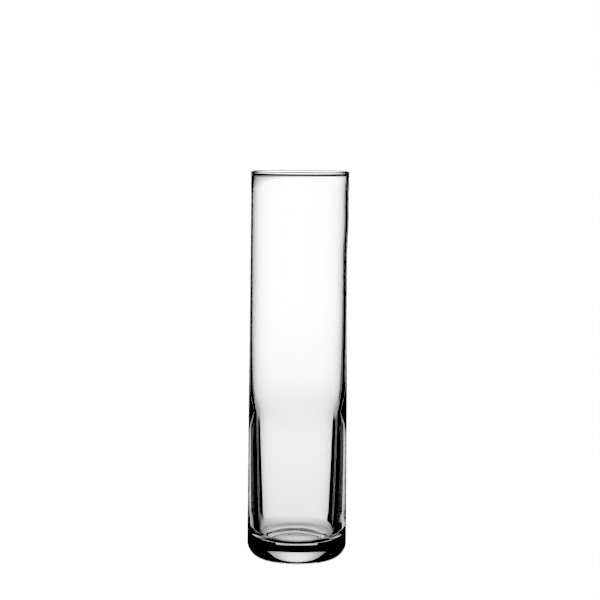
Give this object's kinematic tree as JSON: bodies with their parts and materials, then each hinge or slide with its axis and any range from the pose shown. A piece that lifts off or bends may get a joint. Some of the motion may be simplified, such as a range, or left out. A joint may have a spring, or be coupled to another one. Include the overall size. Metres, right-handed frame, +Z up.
{
  "type": "glass cylinder vase",
  "caption": "Tall narrow cylinder vase of clear glass, thin at the rounded rim and thick at the base, for a single stem or a small bunch.",
  "frame": {"origin": "centre of the foot, on the surface that the vase stands on", "axes": "+Z up along the vase's axis, from the foot to the mouth; X and Y are alike, because the vase is round"},
  "size_m": [0.059, 0.059, 0.2286],
  "materials": {
    "clear_glass": "clear, fire-polished, neutral soda-lime glass"
  },
  "bodies": {
    "root": {"glass_vase": "clear_glass"}
  },
  "joints": []
}
